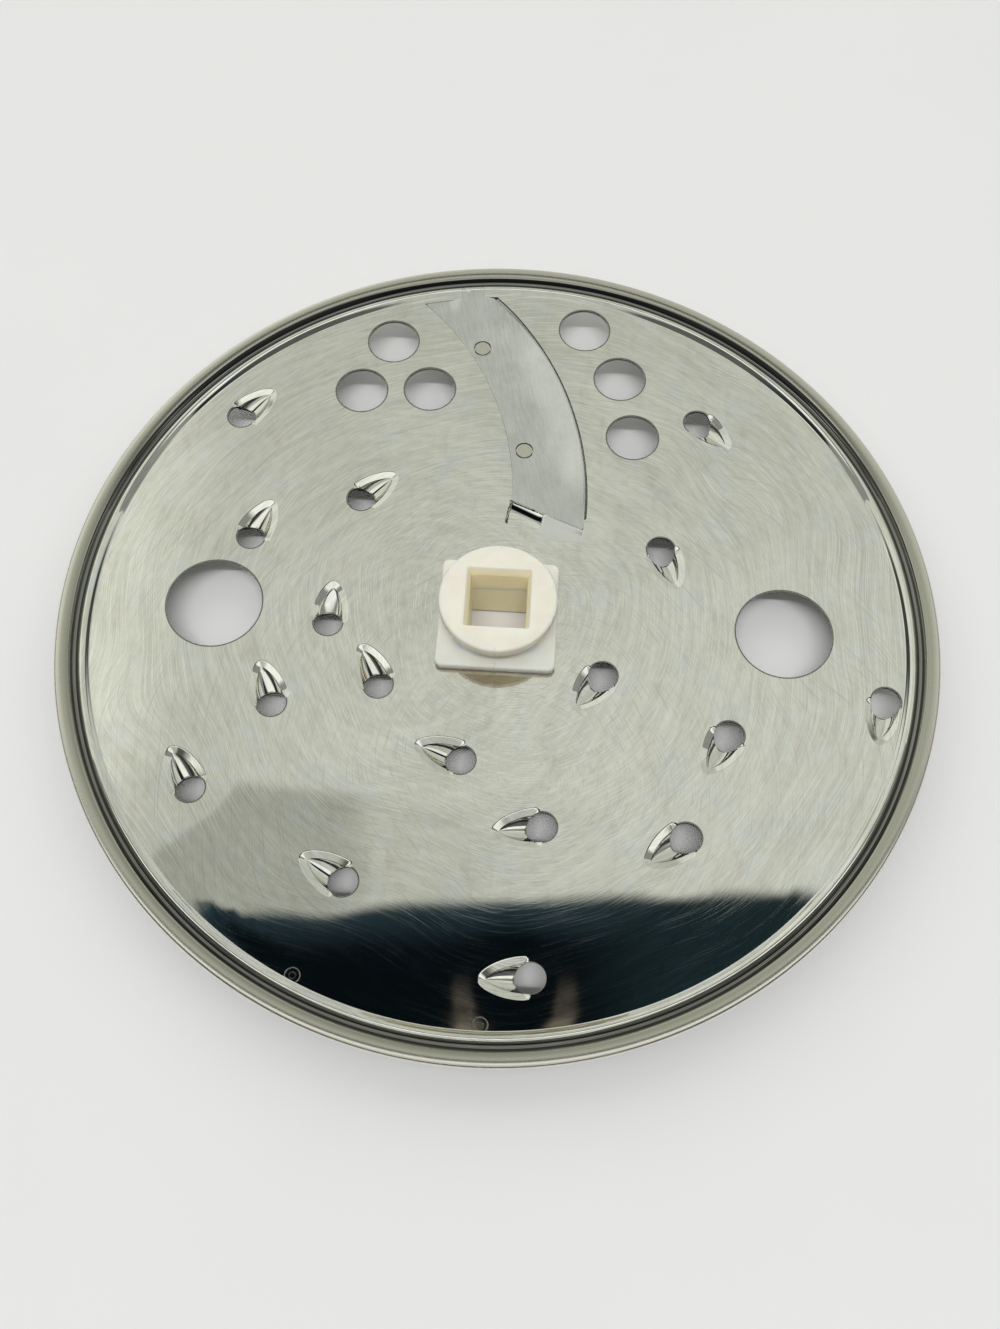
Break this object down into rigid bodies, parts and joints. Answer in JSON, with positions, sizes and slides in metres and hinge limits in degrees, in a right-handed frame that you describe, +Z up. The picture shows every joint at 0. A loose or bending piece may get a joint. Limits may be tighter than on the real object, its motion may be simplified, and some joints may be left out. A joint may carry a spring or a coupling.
{
  "type": "food processor slicing and shredding disc",
  "caption": "Reversible stainless disc with a rolled rim, a riveted slicing blade, shredding teeth pressed down, finger holes and a white plastic hub with a square drive socket.",
  "frame": {"origin": "on the disc's axis, at the face of the lower hub cap that the disc stands on", "axes": "+Z up the disc's axis, out of the slicing side; +X through the right finger hole; +Y from the hub towards the slicing blade"},
  "size_m": [0.178, 0.178, 0.019],
  "materials": {
    "plate_steel": "polished stainless with fine swirling wear scratches",
    "blade_steel": "ground hardened stainless, neutral grey",
    "hub_plastic": "satin warm white plastic, slightly yellowed"
  },
  "bodies": {
    "root": {"disc_plate": "plate_steel", "slicing_blade": "blade_steel", "blade_rivet_outer": "plate_steel", "blade_rivet_inner": "plate_steel", "hub_upper": "hub_plastic", "hub_lower": "hub_plastic"}
  },
  "joints": []
}
